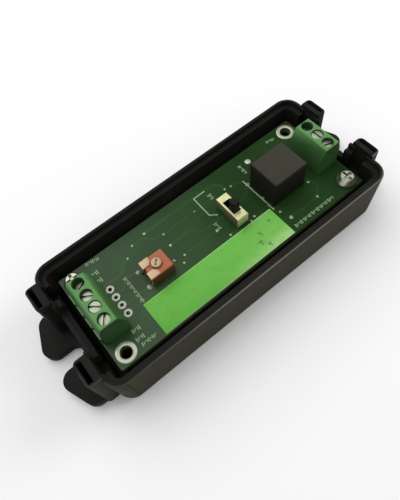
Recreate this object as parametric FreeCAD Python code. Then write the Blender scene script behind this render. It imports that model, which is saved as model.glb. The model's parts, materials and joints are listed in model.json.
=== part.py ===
"""Active video balun for a camera cable: an open moulded case with its circuit board.

The row frame: origin at the middle of the case's flat underside, +X towards the end with three
terminals, +Y across, +Z up out of the open case. The end with four terminals is called near, the
other far. Every size is in millimetres.
"""
import FreeCAD, Part
import math
import os

os.makedirs("parts", exist_ok=True)

# Case: a tray with rounded corners and a stepped rim that a lid would sit in
case_length = 83.0
case_width = 36.0
case_height = 15.4
corner_radius = 4.0
draft = 0.35
floor_thickness = 2.0
lip_thickness = 1.0
ledge_width = 1.25
ledge_depth = 1.4
foot_bevel = 0.9
lip_bevel = 0.3

# Lowered end walls that the wires pass over
near_notch_width = 12.8
far_notch_width = 10.2
notch_depth = 4.3
notch_bevel = 1.1

# Latch loops beside the lowered walls, and the pockets behind them
near_loop_width = 6.9
near_loop_reach = 3.0
far_loop_width = 6.4
far_loop_reach = 2.4
loop_gap = 0.8
loop_rise = 1.0
loop_bar = 0.6
loop_slot_share = 0.42
loop_side = 0.7
loop_round = 1.2
pocket_inset = 1.3
pocket_depth = 7.0
pocket_skin = 0.5

# Slotted mounting flange at each end, in two lobes
flange_thickness = 2.5
flange_width = 27.0
flange_shoulder = 5.9
flange_tip = 10.3
flange_shoulder_round = 3.0
flange_tip_round = 3.0
fixing_slot_width = 4.4
fixing_slot_end = 0.8

# Board and its posts
board_gap = 1.92
board_thickness = 1.6
board_height = 9.9
board_corner = 0.5
hole_inset_x = 3.06
hole_inset_y = 2.85
fixing_hole = 3.0
fixing_ring = 5.0
fixing_ring_sides = 16
copper = 0.05
post_width = 5.6
post_sides = 12
post_rib = 1.2
pilot_hole = 2.5
pilot_depth = 6.5

# Board screws
screw_fit = 0.04
screw_length = 7.0
head_diameter = 5.2
head_height = 1.9
head_rim = 0.5
head_crown = 0.6
screw_point = 1.2
recess_width = 2.9
recess_arm = 0.75
recess_depth = 1.1

# Header holes
header_count = 4
header_pitch = 2.54
header_hole = 0.95
header_ring = 1.95
header_ring_sides = 8
header_from_end = 8.56

# Bare patch on the board
patch_from_end = 12.3
patch_to_transformer = 1.2
patch_to_switch = 0.95
patch_from_edge = 0.3
patch_thickness = 0.12

# Screw terminals: the same pole repeated four times near and three times far
near_poles = 4
far_poles = 3
pole_pitch = 3.5
block_from_end = 0.73
block_depth = 6.6
block_height = 8.5
block_front_lean = 0.8
block_front_drop = 2.4
block_top_depth = 4.2
block_back_height = 4.6
block_bevel = 0.2
well_diameter = 3.0
cell_depth = 3.7
cell_floor = 0.7
entry_height = 2.6
entry_width = 2.0
collar_rim = 0.35
collar_reach = 0.45
slack = 0.06
frame_wall = 0.35
frame_top = 0.9
leaf_thickness = 0.35
thread_diameter = 2.0
thread_fit = 0.05
terminal_head = 2.7
terminal_head_height = 1.2
screw_stroke = 2.3
flush_gap = 0.1
driver_slot = 0.5
driver_slot_depth = 0.6
clamp_hole_sides = 12
tail_width = 0.8
tail_fit = 0.1
tail_length = 1.6

# How far each terminal screw stands below its highest place, and the turn of its slot
near_sinks = [1.9, 0.8, 0.1, 0.5]
near_slots = [20.0, -35.0, -40.0, 55.0]
far_sinks = [1.8, 0.15, 0.7]
far_slots = [30.0, 90.0, -20.0]

# Pins, with the same number of flats as the holes they stand in
pin_sides = 8

# Transformer
transformer_length = 10.5
transformer_width = 9.3
transformer_height = 8.5
transformer_from_end = 11.5
transformer_offset = -0.2
transformer_bevel = 0.35
transformer_pin = 0.7
transformer_pin_pitch = 5.0
transformer_row_pitch = 7.5
pin_socket = 1.5
pin_tail = 1.5

# Slide switch
switch_length = 8.3
switch_width = 3.4
switch_height = 3.6
switch_from_transformer = 7.4
switch_offset = 0.6
shell_sheet = 0.3
shell_bevel = 0.2
window_length = 4.3
window_width = 2.2
lever_length = 2.2
lever_width = 1.8
lever_bevel = 0.15
lever_height = 3.4
slider_length = 4.2
slider_width = 2.5
slider_height = 1.2
switch_travel = 1.9
switch_play = 0.06
switch_pin = 0.7
switch_pin_pitch = 2.5

# Trimmer
trimmer_length = 6.2
trimmer_width = 5.7
trimmer_height = 3.5
trimmer_from_end = 20.4
trimmer_offset = 0.3
trimmer_bevel = 0.3
trimmer_recess = 0.7
rotor_diameter = 2.5
rotor_height = 1.3
rotor_slot = 0.5
rotor_slot_length = 1.6
rotor_slot_turn = 52.0
rotor_fit = 0.05
rotor_shaft = 1.2
contact_sheet = 0.25
contact_width = 2.1
contact_reach = 2.4
contact_spread = 3.4
contact_opening = 3.3
contact_foot = 0.9
wiper_leg = 1.2

# Planes and places that follow from them
half_length = case_length / 2
half_width = case_width / 2
wall = lip_thickness + ledge_width
ledge_level = case_height - ledge_depth
notch_level = case_height - notch_depth
board_length = case_length - 2 * (wall + board_gap)
board_width = case_width - 2 * (wall + board_gap)
board_top = board_height + board_thickness
board_end = board_length / 2
board_edge = board_width / 2
hole_x = board_end - hole_inset_x
hole_y = board_edge - hole_inset_y
cell_width = thread_diameter + 2 * (thread_fit + frame_wall + slack)
cell_height = frame_wall + leaf_thickness + screw_stroke + frame_top + 3 * slack
cell_top = cell_floor + cell_height
case_ends = (("near", -1, near_notch_width, near_loop_width, near_loop_reach),
             ("far", 1, far_notch_width, far_loop_width, far_loop_reach))
Z = FreeCAD.Vector(0, 0, 1)


def block(x0, x1, y0, y1, z0, z1):
    """A box between two corners, in any order."""
    low = FreeCAD.Vector(min(x0, x1), min(y0, y1), min(z0, z1))
    return Part.makeBox(abs(x1 - x0), abs(y1 - y0), abs(z1 - z0), low)


def rod(x, y, z0, z1, diameter):
    """An upright cylinder."""
    return Part.makeCylinder(diameter / 2, z1 - z0, FreeCAD.Vector(x, y, z0), Z)


def flat_sided(x, y, z0, z1, across, sides):
    """An upright bar with equal flats, measured across them."""
    corner = across / 2 / math.cos(math.pi / sides)
    points = []
    for i in range(sides):
        angle = 2 * math.pi * (i + 0.5) / sides
        points.append(FreeCAD.Vector(x + corner * math.cos(angle), y + corner * math.sin(angle), z0))
    return prism(points, Z * (z1 - z0))


def rounded_outline(half_x, half_y, radius, z):
    """A closed wire: a rectangle about the Z axis with round corners."""
    edges = []
    corners = [(1, 1), (-1, 1), (-1, -1), (1, -1)]
    ends = []
    for turn, (sx, sy) in enumerate(corners):
        centre = FreeCAD.Vector(sx * (half_x - radius), sy * (half_y - radius), z)
        start = math.radians(90 * turn)
        points = []
        for step in (0, math.pi / 4, math.pi / 2):
            arm = FreeCAD.Vector(math.cos(start + step), math.sin(start + step), 0) * radius
            points.append(centre + arm)
        ends.append(points)
    for turn in range(4):
        edges.append(Part.Arc(*ends[turn]).toShape())
        edges.append(Part.LineSegment(ends[turn][2], ends[(turn + 1) % 4][0]).toShape())
    return Part.Wire(edges)


def drafted(half_x, half_y, radius, levels):
    """A solid through rounded outlines one above the other, each given as its inset and height."""
    wires = [rounded_outline(half_x - inset, half_y - inset, radius, z) for inset, z in levels]
    return Part.makeLoft(wires, True, True)


def prism(points, direction):
    """A solid swept from a flat polygon along a vector."""
    wire = Part.makePolygon(points + [points[0]])
    return Part.Face(wire).extrude(direction)


def edges_at(shape, test):
    """The edges whose middle point passes a test."""
    chosen = []
    for edge in shape.Edges:
        middle = edge.valueAt((edge.FirstParameter + edge.LastParameter) / 2)
        if test(edge, middle):
            chosen.append(edge)
    return chosen


def upright(edge):
    """True for a straight edge that runs along Z."""
    first, last = edge.Vertexes[0].Point, edge.Vertexes[-1].Point
    return abs(first.x - last.x) < 1e-6 and abs(first.y - last.y) < 1e-6 and abs(first.z - last.z) > 1e-6


def place(shape, x, y, z=0.0, mirrored=False):
    """A copy moved to a place, turned half round first for the far end."""
    copy = shape.copy()
    if mirrored:
        copy.rotate(FreeCAD.Vector(0, 0, 0), Z, 180)
    copy.translate(FreeCAD.Vector(x, y, z))
    return copy


def save(name, shape):
    """Writes one sub-part, as a clean solid or group of solids."""
    shape.exportStep("parts/" + name + ".step")


def flange(side):
    """One end's flange: two lobes with a screw slot open to the outside between them."""
    root = half_length - wall
    shoulder = half_length + flange_shoulder
    tip = half_length + flange_tip
    edge = flange_width / 2
    slot = fixing_slot_width / 2
    corners = [(root, -edge), (shoulder, -edge), (tip, -slot), (tip, slot), (shoulder, edge), (root, edge)]
    plate = prism([FreeCAD.Vector(x, y, 0) for x, y in corners], Z * flange_thickness)
    slot_x = half_length + fixing_slot_end + slot
    plate = plate.cut(block(slot_x, tip + 1, -slot, slot, 0, flange_thickness))
    plate = plate.cut(rod(slot_x, 0, 0, flange_thickness, fixing_slot_width))
    tips = edges_at(plate, lambda e, p: upright(e) and p.x > tip - 0.1)
    plate = plate.makeFillet(flange_tip_round, tips)
    shoulders = edges_at(plate, lambda e, p: upright(e) and abs(p.x - shoulder) < 0.1)
    plate = plate.makeFillet(flange_shoulder_round, shoulders)
    if side < 0:
        plate = plate.mirror(FreeCAD.Vector(0, 0, 0), FreeCAD.Vector(1, 0, 0))
    return plate


def latch_loop(side, near_y, hand, width, reach):
    """A loop for the lid's hook, a little higher than the rim and closed at the flange's level."""
    outer = half_length + reach
    top = case_height + loop_rise
    loop = block(half_length - wall / 2, outer, near_y, near_y + width, 0, top)
    loop = loop.makeFillet(loop_round, edges_at(loop, lambda e, p: upright(e) and p.x > outer - 0.1))
    loop = loop.makeChamfer(lip_bevel, edges_at(loop, lambda e, p: p.z > top - 0.01 and p.x > half_length))
    slot_outer = outer - loop_bar
    slot_inner = slot_outer - reach * loop_slot_share
    slot_start, slot_end = near_y + loop_side, near_y + width - loop_side
    loop = loop.cut(block(slot_inner, slot_outer, slot_start, slot_end, flange_thickness, top + 1))
    loop = loop.cut(block(0, half_length - pocket_skin, near_y - 1, near_y + width + 1, case_height, top + 1))
    if hand < 0:
        loop = loop.mirror(FreeCAD.Vector(0, 0, 0), FreeCAD.Vector(0, 1, 0))
    if side < 0:
        loop = loop.mirror(FreeCAD.Vector(0, 0, 0), FreeCAD.Vector(1, 0, 0))
    return loop


def post(sx, sy):
    """A board post with its screw hole, tied to the side wall by a rib."""
    x, y = sx * hole_x, sy * hole_y
    top = board_height - copper
    shape = flat_sided(x, y, floor_thickness / 2, top, post_width, post_sides)
    wall_y = sy * (half_width - wall / 2)
    rib = block(x - post_rib / 2, x + post_rib / 2, y, wall_y, floor_thickness / 2, top - board_thickness)
    return shape.fuse(rib)


def tray_outline():
    """The tray as a full solid, drafted, with its foot and lip bevelled."""
    lip_level = case_height - lip_bevel
    levels = [(draft + foot_bevel, 0), (draft, foot_bevel), (0, lip_level), (lip_bevel, case_height)]
    return drafted(half_length, half_width, corner_radius, levels)


def make_tray():
    """The hollow tray with its stepped rim, lowered end walls and the pockets behind the loops."""
    cavity = drafted(half_length - wall, half_width - wall, corner_radius - wall,
                     [(draft, floor_thickness), (0, case_height + 0.01)])
    step_x, step_y = half_length - lip_thickness, half_width - lip_thickness
    step_wire = rounded_outline(step_x, step_y, corner_radius - lip_thickness, ledge_level)
    step = Part.Face(step_wire).extrude(Z * (ledge_depth + 0.01))
    cuts = [cavity, step]
    for label, side, notch, loop_width, reach in case_ends:
        outside = half_length + 1
        inside = half_length - wall - 1
        cuts.append(block(side * inside, side * outside, -notch / 2, notch / 2, notch_level, case_height + 1))
        bevel_points = []
        for x, z in ((0, 0), (-notch_bevel, 0), (0, -notch_bevel)):
            bevel_points.append(FreeCAD.Vector(side * (half_length + x), -notch / 2, notch_level + z))
        cuts.append(prism(bevel_points, FreeCAD.Vector(0, notch, 0)))
        for hand in (-1, 1):
            start = notch / 2 + loop_gap + pocket_inset
            end = notch / 2 + loop_gap + loop_width - pocket_inset
            cuts.append(block(side * inside, side * (half_length - pocket_skin), hand * start, hand * end,
                              case_height - pocket_depth, case_height + 0.01))
    return tray_outline().cut(cuts)


def pilot(sx, sy):
    """The hole for a board screw in one post."""
    top = board_height - copper
    return rod(sx * hole_x, sy * hole_y, top - pilot_depth, top + 1, pilot_hole)


def save_case():
    """The case. It is one moulding, kept as a tray, its flanges, its loops and its open posts."""
    tray = make_tray()
    outline = tray_outline()
    for label, side, notch, loop_width, reach in case_ends:
        plate = flange(side).cut(outline)
        for number, hand in ((1, -1), (2, 1)):
            loop = latch_loop(side, notch / 2 + loop_gap, hand, loop_width, reach).cut(outline)
            plate = plate.cut(loop)
            save("case_loop_" + label + "_" + str(number), loop)
        save("case_flange_" + label, plate)
        open_post = post(side, side).cut(tray)
        save("case_post_" + label, open_post.cut(pilot(side, side)))
    screwed = [(side, -side) for label, side, notch, loop_width, reach in case_ends]
    base = tray.fuse([post(sx, sy) for sx, sy in screwed])
    base = base.cut([pilot(sx, sy) for sx, sy in screwed])
    save("case_base", base.removeSplitter())


def fixing_places():
    """The four corners of the board where it can be screwed down."""
    return [(sx * hole_x, sy * hole_y) for sx in (-1, 1) for sy in (-1, 1)]


def header_places():
    """The row of header holes beside the near terminals."""
    x = -board_end + header_from_end
    start = (header_count - 1) / 2
    return [(x, (start - i) * header_pitch) for i in range(header_count)]


def pole_places(poles, side):
    """The screw axes of one terminal block."""
    x = side * (board_end - block_from_end - block_front_lean - block_top_depth / 2)
    start = (poles - 1) / 2
    return [(x, (start - i) * pole_pitch) for i in range(poles)]


def transformer_centre():
    return board_end - transformer_from_end - transformer_length / 2, transformer_offset


def switch_centre():
    face = transformer_centre()[0] - transformer_length / 2
    return face - switch_from_transformer - switch_width / 2, switch_offset


def trimmer_centre():
    return -board_end + trimmer_from_end, trimmer_offset


def transformer_pins():
    """The pin axes under the transformer."""
    cx, cy = transformer_centre()
    places = []
    for sx in (-1, 1):
        for sy in (-1, 1):
            places.append((cx + sx * transformer_row_pitch / 2, cy + sy * transformer_pin_pitch / 2))
    return places


def switch_pins():
    """The pin axes under the switch."""
    cx, cy = switch_centre()
    return [(cx, cy + i * switch_pin_pitch) for i in (-1, 0, 1)]


def contact_places():
    """Where the trimmer's sheet contacts enter the board: two on one side, one on the other."""
    cx, cy = trimmer_centre()
    reach = trimmer_length / 2 + contact_sheet / 2
    return [(cx - reach, cy - contact_spread / 2), (cx - reach, cy + contact_spread / 2), (cx + reach, cy)]


def make_board():
    """The circuit board with every hole that something goes through."""
    outline = Part.Face(rounded_outline(board_end, board_edge, board_corner, board_height))
    board = outline.extrude(Z * board_thickness)
    below, above = board_height - 1, board_top + 1
    drills = [rod(x, y, below, above, fixing_hole) for x, y in fixing_places()]
    drills += [rod(x, y, below, above, header_hole) for x, y in header_places()]
    pins = [(spot, transformer_pin) for spot in transformer_pins()]
    pins += [(spot, switch_pin) for spot in switch_pins()]
    pins += [(spot, contact_foot) for spot in contact_places()]
    drills += [flat_sided(x, y, below, above, width + tail_fit, pin_sides) for (x, y), width in pins]
    half_tail = (tail_width + tail_fit) / 2
    for poles, side in ((near_poles, -1), (far_poles, 1)):
        for x, y in pole_places(poles, side):
            drills.append(block(x - half_tail, x + half_tail, y - half_tail, y + half_tail, below, above))
    return board.cut(drills)


def plated_rings(places, hole, ring, sides):
    """The tinned rings round a set of holes, one on each face of the board."""
    rings = []
    for x, y in places:
        for low in (board_top, board_height - copper):
            disc = flat_sided(x, y, low, low + copper, ring, sides)
            rings.append(disc.cut(flat_sided(x, y, low - 1, low + 1, hole, sides)))
    return Part.makeCompound(rings)


def make_patch():
    """The bare patch stuck along one edge of the board."""
    x = -board_end + patch_from_end
    y = -board_edge + patch_from_edge
    end_x = transformer_centre()[0] - transformer_length / 2 - patch_to_transformer
    end_y = switch_centre()[1] - switch_length / 2 - patch_to_switch
    return block(x, end_x, y, end_y, board_top, board_top + patch_thickness)


def make_board_screw():
    """A pan-head screw with a cross recess, turned from one profile, its head's seat at the origin."""
    head = head_diameter / 2
    shank = pilot_hole / 2 - screw_fit
    profile = [(0, -screw_length), (shank, screw_point - screw_length), (shank, 0), (head, 0),
               (head, head_rim), (head * head_crown, head_height), (0, head_height)]
    points = [FreeCAD.Vector(radius, 0, height) for radius, height in profile]
    outline = Part.Face(Part.makePolygon(points + [points[0]]))
    screw = outline.revolve(FreeCAD.Vector(0, 0, 0), Z, 360)
    for angle in (0, 90):
        arm = block(-recess_width / 2, recess_width / 2, -recess_arm / 2, recess_arm / 2,
                    head_height - recess_depth, head_height + 1)
        arm.rotate(FreeCAD.Vector(0, 0, 0), Z, angle)
        screw = screw.cut(arm)
    return screw


def cell_centre():
    """How far the screw axes lie inside the block's front face."""
    return block_front_lean + block_top_depth / 2


def make_housing(poles):
    """A terminal block's moulding with its front on +X, the front face at x = 0."""
    width = poles * pole_pitch
    lean = block_front_lean
    profile = [(0, 0), (-block_depth, 0), (-block_depth, block_back_height),
               (-lean - block_top_depth, block_height), (-lean, block_height),
               (0, block_height - block_front_drop)]
    points = [FreeCAD.Vector(x, -width / 2, z) for x, z in profile]
    body = prism(points, FreeCAD.Vector(0, width, 0))
    body = body.makeChamfer(block_bevel, edges_at(body, lambda e, p: p.z > block_height - 0.01))
    cx = -cell_centre()
    half_tail = (tail_width + tail_fit) / 2
    tools = []
    collars = []
    for i in range(poles):
        y = ((poles - 1) / 2 - i) * pole_pitch
        tools.append(rod(cx, y, cell_top - 0.01, block_height + 1, well_diameter))
        tools.append(block(cx - cell_depth / 2, cx + cell_depth / 2, y - cell_width / 2, y + cell_width / 2,
                           cell_floor, cell_top))
        entry_low = cell_floor + frame_wall
        entry_high = entry_low + entry_height
        half_entry = entry_width / 2
        tools.append(block(cx, collar_reach + 1, y - half_entry, y + half_entry, entry_low, entry_high))
        tail_top = cell_floor + 0.01
        tools.append(block(cx - half_tail, cx + half_tail, y - half_tail, y + half_tail, -1, tail_top))
        half_collar = entry_width / 2 + collar_rim
        collars.append(block(-0.5, collar_reach, y - half_collar, y + half_collar,
                             entry_low - collar_rim, entry_high + collar_rim))
    body = body.fuse(collars)
    return body.cut(tools).removeSplitter()


def make_clamp_frame():
    """A bent metal frame in a terminal's cell, with the screw's hole above and a solder tail below."""
    half_depth = cell_depth / 2 - slack
    half_span = cell_width / 2 - slack
    low = cell_floor
    high = cell_top - slack
    frame = block(-half_depth, half_depth, -half_span, half_span, low, high)
    inside = block(-half_depth - 1, half_depth + 1, -half_span + frame_wall, half_span - frame_wall,
                   low + frame_wall, high - frame_top)
    frame = frame.cut(inside)
    hole = thread_diameter + 2 * thread_fit
    frame = frame.cut(flat_sided(0, 0, high - frame_top - 0.5, high + 1, hole, clamp_hole_sides))
    tail = block(-tail_width / 2, tail_width / 2, -tail_width / 2, tail_width / 2,
                 -board_thickness - tail_length, low)
    return frame.fuse(tail).removeSplitter()


def leaf_rest(sink):
    """Height of the pressure leaf's upper face over the board, for a screw sunk by that much."""
    return cell_top - frame_top - 2 * slack - sink


def make_leaf(sink):
    """The plate under a terminal screw that presses on the wire."""
    half_depth = cell_depth / 2 - slack
    half_span = cell_width / 2 - slack - frame_wall - slack
    top = leaf_rest(sink)
    leaf = block(-half_depth, half_depth, -half_span, half_span, top - leaf_thickness, top)
    return leaf


def make_terminal_screw(sink, slot_angle):
    """A slotted terminal screw, sunk below its highest place and turned as it stands."""
    top = block_height - flush_gap - sink
    head = rod(0, 0, top - terminal_head_height, top, terminal_head)
    half_slot = driver_slot / 2
    slot = block(-terminal_head, terminal_head, -half_slot, half_slot, top - driver_slot_depth, top + 1)
    slot.rotate(FreeCAD.Vector(0, 0, 0), Z, slot_angle)
    head = head.cut(slot)
    flats = thread_diameter * math.cos(math.pi / clamp_hole_sides)
    shank = flat_sided(0, 0, leaf_rest(sink), top - terminal_head_height, flats, clamp_hole_sides)
    return head.fuse(shank).removeSplitter()


def save_terminals(label, poles, side, sinks, slots):
    """One terminal block: its moulding, and each pole's frame, leaf and screw."""
    front = side * (board_end - block_from_end)
    mirrored = side < 0
    save("terminal_housing_" + label, place(make_housing(poles), front, 0, board_top, mirrored))
    for i, (x, y) in enumerate(pole_places(poles, side)):
        number = label + "_" + str(i + 1)
        save("clamp_frame_" + number, place(make_clamp_frame(), x, y, board_top))
        save("pressure_leaf_" + number, place(make_leaf(sinks[i]), x, y, board_top))
        save("terminal_screw_" + number, place(make_terminal_screw(sinks[i], slots[i]), x, y, board_top))


def save_transformer():
    """The moulded transformer and its pins."""
    cx, cy = transformer_centre()
    half_x, half_y = transformer_length / 2, transformer_width / 2
    top = board_top + transformer_height
    body = block(cx - half_x, cx + half_x, cy - half_y, cy + half_y, board_top, top)
    body = body.makeChamfer(transformer_bevel, edges_at(body, lambda e, p: p.z > board_top + 0.1))
    sockets = [flat_sided(x, y, board_top - 1, board_top + pin_socket, transformer_pin, pin_sides)
               for x, y in transformer_pins()]
    save("transformer_body", body.cut(sockets))
    pins = [flat_sided(x, y, board_height - pin_tail, board_top + pin_socket, transformer_pin, pin_sides)
            for x, y in transformer_pins()]
    save("transformer_pins", Part.makeCompound(pins))


def save_switch():
    """The slide switch: base, shell, slider with its lever, and pins."""
    cx, cy = switch_centre()
    half_x, half_y = switch_width / 2, switch_length / 2
    low = board_top
    roof = low + switch_height - shell_sheet
    base = block(cx - half_x + shell_sheet, cx + half_x - shell_sheet, cy - half_y + shell_sheet,
                 cy + half_y - shell_sheet, low, roof)
    trough_length = slider_length + switch_travel + 2 * switch_play
    trough_floor = roof - slider_height - 2 * switch_play
    base = base.cut(block(cx - slider_width / 2 - switch_play, cx + slider_width / 2 + switch_play,
                          cy - trough_length / 2, cy + trough_length / 2, trough_floor, roof))
    base = base.cut([flat_sided(x, y, low - 1, low + pin_socket, switch_pin, pin_sides)
                     for x, y in switch_pins()])
    save("switch_base", base)

    shell = block(cx - half_x, cx + half_x, cy - half_y, cy + half_y, low + shell_sheet, roof + shell_sheet)
    shell = shell.makeChamfer(shell_bevel, edges_at(shell, lambda e, p: p.z > roof + shell_sheet - 0.01))
    shell = shell.cut(block(cx - half_x + shell_sheet, cx + half_x - shell_sheet, cy - half_y + shell_sheet,
                            cy + half_y - shell_sheet, low, roof))
    shell = shell.cut(block(cx - window_width / 2, cx + window_width / 2, cy - window_length / 2,
                            cy + window_length / 2, roof - 1, roof + 1))
    save("switch_shell", shell)

    slider_y = cy - switch_travel / 2
    slider = block(cx - slider_width / 2, cx + slider_width / 2, slider_y - slider_length / 2,
                   slider_y + slider_length / 2, trough_floor + switch_play, roof - switch_play)
    lever = block(cx - lever_width / 2, cx + lever_width / 2, slider_y - lever_length / 2,
                  slider_y + lever_length / 2, roof - switch_play, roof + shell_sheet + lever_height)
    lever = lever.makeChamfer(lever_bevel, edges_at(lever, lambda e, p: p.z > roof))
    save("switch_lever", slider.fuse(lever).removeSplitter())
    pins = [flat_sided(x, y, board_height - pin_tail, low + pin_socket, switch_pin, pin_sides)
            for x, y in switch_pins()]
    save("switch_pins", Part.makeCompound(pins))


def save_trimmer():
    """The trimmer: base, rotor and three sheet contacts."""
    cx, cy = trimmer_centre()
    half_x, half_y = trimmer_length / 2, trimmer_width / 2
    low = board_top
    top = low + trimmer_height
    base = block(cx - half_x, cx + half_x, cy - half_y, cy + half_y, low, top)
    base = base.makeChamfer(trimmer_bevel, edges_at(base, lambda e, p: upright(e) or p.z > top - 0.01))
    base = base.cut(rod(cx, cy, top - trimmer_recess, top + 1, rotor_diameter + 2 * rotor_fit))
    base = base.cut(rod(cx, cy, low + 1, top, rotor_shaft + 2 * rotor_fit))
    seat = top - trimmer_recess + rotor_fit
    rotor = rod(cx, cy, seat, seat + rotor_height, rotor_diameter)
    along, across = rotor_slot_length / 2, rotor_slot / 2
    slot = block(-along, along, -across, across, rotor_height / 2, rotor_height + 1)
    slot.rotate(FreeCAD.Vector(0, 0, 0), Z, rotor_slot_turn)
    rotor = rotor.cut(place(slot, cx, cy, seat))
    rotor = rotor.fuse(rod(cx, cy, low + 1 + rotor_fit, seat, rotor_shaft)).removeSplitter()
    save("trimmer_rotor", rotor)
    sheets = (("trimmer_contact_low", -1, trimmer_height), ("trimmer_contact_high", -1, trimmer_height),
              ("trimmer_contact_wiper", 1, wiper_leg))
    for (name, side, height), (x, y) in zip(sheets, contact_places()):
        face = cx + side * half_x
        left, right = y - contact_width / 2, y + contact_width / 2
        leg_top = low + height + contact_sheet
        contact = block(face, face + side * contact_sheet, left, right, low + contact_sheet, leg_top)
        half_foot = contact_foot / 2 / math.sqrt(2)
        foot = block(x - contact_sheet / 2, x + contact_sheet / 2, y - half_foot, y + half_foot,
                     board_height - pin_tail, low + contact_sheet)
        contact = contact.fuse(foot)
        if height == trimmer_height:
            flap = block(face - side * contact_reach, face + side * contact_sheet, left, right, top, leg_top)
            opening = rod(cx, cy, low, top + 1, contact_opening)
            contact = contact.fuse(flap.cut(opening))
        save(name, contact.removeSplitter())
    save("trimmer_base", base)


save_case()
save("circuit_board", make_board())
save("fixing_hole_plating", plated_rings(fixing_places(), fixing_hole, fixing_ring, fixing_ring_sides))
save("header_plating", plated_rings(header_places(), header_hole, header_ring, header_ring_sides))
save("board_patch", make_patch())
seat_level = board_top + copper
save("board_screw_near", place(make_board_screw(), -hole_x, hole_y, seat_level))
save("board_screw_far", place(make_board_screw(), hole_x, -hole_y, seat_level))
save_terminals("near", near_poles, -1, near_sinks, near_slots)
save_terminals("far", far_poles, 1, far_sinks, far_slots)
save_transformer()
save_switch()
save_trimmer()
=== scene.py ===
import json
import math

import bmesh
import bpy
from bpy.props import FloatProperty, FloatVectorProperty, IntProperty, PointerProperty
from mathutils import Matrix, Vector


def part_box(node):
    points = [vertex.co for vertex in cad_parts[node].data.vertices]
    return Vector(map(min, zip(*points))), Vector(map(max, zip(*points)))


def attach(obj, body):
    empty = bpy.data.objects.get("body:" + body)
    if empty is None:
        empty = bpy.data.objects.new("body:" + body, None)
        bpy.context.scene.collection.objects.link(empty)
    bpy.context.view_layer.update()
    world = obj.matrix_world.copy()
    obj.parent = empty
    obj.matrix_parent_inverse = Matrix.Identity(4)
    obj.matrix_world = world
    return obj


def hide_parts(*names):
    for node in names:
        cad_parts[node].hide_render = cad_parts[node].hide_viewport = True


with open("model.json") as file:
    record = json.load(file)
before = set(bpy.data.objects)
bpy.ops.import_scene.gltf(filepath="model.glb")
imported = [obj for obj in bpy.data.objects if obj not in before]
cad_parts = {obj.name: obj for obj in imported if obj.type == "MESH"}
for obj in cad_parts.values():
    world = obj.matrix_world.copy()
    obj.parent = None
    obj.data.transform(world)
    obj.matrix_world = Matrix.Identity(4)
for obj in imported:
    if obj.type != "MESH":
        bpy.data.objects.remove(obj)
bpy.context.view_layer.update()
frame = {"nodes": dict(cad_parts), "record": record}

bl_info = {
    "name": "Camera balun dressing",
    "version": (1, 0, 0),
    "blender": (4, 5, 0),
    "location": "3D View > Sidebar > Balun",
    "description": "Finishes and small details for an open camera balun with its circuit board",
    "category": "Object",
}

MM = 0.001

# The picture's longer side in pixels, the sensor's in millimetres, and the camera's reach in metres
FRAME_PIXELS = 500
SENSOR = 36.0
CLIP_START = 0.005
CLIP_END = 10.0

# Half the floor's width, and the distances over which it fades to white, in metres
FLOOR_REACH = 6.0
FADE_START = 0.09
FADE_END = 0.45

# Rays that meet plain white where the floor has faded and all round
SEEN_RAYS = ("Is Camera Ray", "Is Glossy Ray", "Is Transmission Ray")

# Meshes: points this near are one point, faces this flat are one face, and faces across a rounded edge
JOIN_DISTANCE = 0.0005 * MM
FLAT_ANGLE = math.radians(0.5)
EDGE_STEPS = 2

# Smallest cosine of half a bend that a strip's mitre follows
MITRE_LIMIT = 0.3

# Rows of ticks: shares of the full height in turn, and how often a dash stands in for a tick. The dash's
# half length is a share of the pitch, and its height over the middle a share of half a tick's.
TICK_HEIGHTS = (1.0, 0.6, 0.85, 0.7)
DASH_EVERY = 3
DASH_REACH = 0.36
DASH_HEIGHT = 0.5


# Settings that the panel shows


def colour_property(name, description, default):
    """A colour that the panel shows as a swatch."""
    return FloatVectorProperty(name=name, description=description, default=default, subtype="COLOR",
                               size=3, min=0.0, max=1.0)


def length_property(name, description, default):
    """A length in metres, shown in the scene's unit."""
    return FloatProperty(name=name, description=description, default=default, unit="LENGTH", precision=5)


class CaseSettings(bpy.types.PropertyGroup):
    """The moulded case."""
    colour: colour_property("Case colour", "Black of the moulding", (0.0085, 0.0080, 0.0072))
    worn: colour_property("Rubbed colour", "Paler tone where the moulding is rubbed", (0.034, 0.033, 0.029))
    # Painted light: the walls that face outwards get this paler, warmer black, and the inner walls keep the
    # darker colour as their shade
    side: colour_property("Side colour", "Warmer black of the outer walls", (0.0225, 0.0210, 0.0090))
    grain: length_property("Grain", "Size of the moulded grain", 0.35 * MM)
    edge: length_property("Edge radius", "Rounding of the tray's edges", 0.2 * MM)
    fine_edge: length_property("Fine edge radius", "Rounding of the flanges, loops and posts", 0.1 * MM)
    # Painted highlight: this paler tone stands for light caught along the rounded upper edges
    painted_rim_highlight: colour_property("Rim colour", "Paler tone along the rounded upper edges", (0.17, 0.165, 0.14))
    roughness: FloatProperty(name="Roughness", description="How matte the moulding is", default=0.5,
                             min=0, max=1)


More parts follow.
